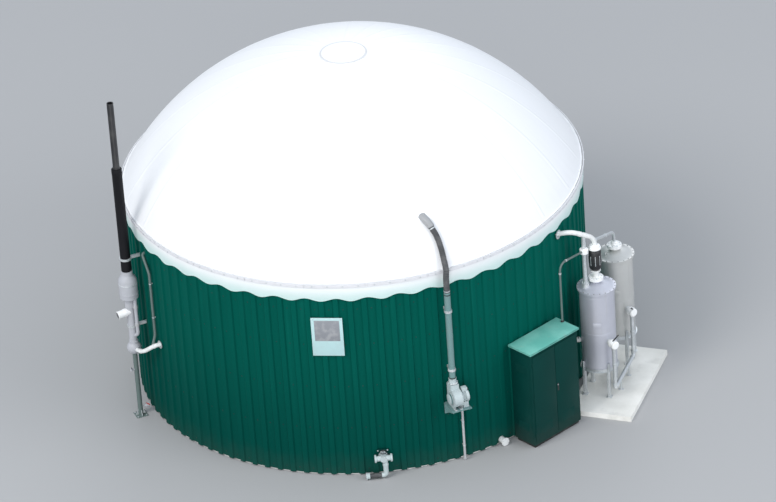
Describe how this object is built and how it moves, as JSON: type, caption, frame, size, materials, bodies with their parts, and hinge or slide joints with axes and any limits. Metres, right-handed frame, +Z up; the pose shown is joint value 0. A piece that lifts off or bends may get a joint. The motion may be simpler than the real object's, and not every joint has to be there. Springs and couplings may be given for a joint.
{
  "type": "biogas digester",
  "caption": "Round farm biogas digester: green ribbed tank under a white membrane dome, with blower, relief stack, cabinet and gas filters.",
  "frame": {"origin": "on the tank's axis at ground level, in the middle of the floor slab's underside", "axes": "+Z up; -Y towards the front, where the sign plate is; +X towards the gas filters"},
  "size_m": [9.9645, 8.6141, 6.46],
  "materials": {
    "concrete": "cast concrete, dusty",
    "green_sheet": "coil-coated ribbed steel, dark blue-green",
    "pale_green_sheet": "sun-faded green sheet",
    "membrane": "coated white membrane",
    "galvanised": "galvanised steel",
    "stainless": "satin stainless steel",
    "white_plastic": "white plastic pipe and painted housings",
    "black_pipe": "black polyethylene pipe",
    "hose": "dark grey ribbed air hose"
  },
  "bodies": {
    "root": {"air_hose": "hose", "air_riser": "galvanised", "blower_conduit": "galvanised", "blower_fan": "white_plastic", "blower_motor": "galvanised", "blower_shelf": "galvanised", "cabinet_body": "green_sheet", "cabinet_door": "green_sheet", "cabinet_roof": "pale_green_sheet", "cladding_1": "green_sheet", "cladding_2": "green_sheet", "cladding_3": "green_sheet", "cladding_4": "green_sheet", "clamp_rail": "galvanised", "crown_disc": "membrane", "dome_inlet_sleeve": "membrane", "dome_membrane": "membrane", "drain_stub": "galvanised", "filter_1_legs": "galvanised", "filter_1_tap": "white_plastic", "filter_1_valve": "white_plastic", "filter_1_vessel": "stainless", "filter_2_legs": "galvanised", "filter_2_valve": "white_plastic", "filter_2_vessel": "stainless", "filter_bypass": "galvanised", "filter_link_pipe": "galvanised", "filter_pad": "concrete", "filter_riser": "white_plastic", "flame_arrester": "black_pipe", "floor_slab": "concrete", "foot_stub": "white_plastic", "gas_drop_pipe": "white_plastic", "gas_pipe": "white_plastic", "intake_filter": "white_plastic", "membrane_skirt": "membrane", "pressure_line": "white_plastic", "relief_inlet": "white_plastic", "relief_post": "galvanised", "relief_pot": "white_plastic", "relief_tee": "white_plastic", "rim_ring": "green_sheet", "riser_clip_1": "galvanised", "riser_clip_2": "galvanised", "sample_pipe": "white_plastic", "sign_frame": "galvanised", "sign_plate": "white_plastic", "stack_bracket_1": "galvanised", "stack_bracket_2": "galvanised", "vent_stack_lower": "black_pipe", "vent_stack_upper": "black_pipe", "wall_1": "concrete", "wall_2": "concrete", "wall_3": "concrete", "wall_4": "concrete"}
  },
  "joints": []
}
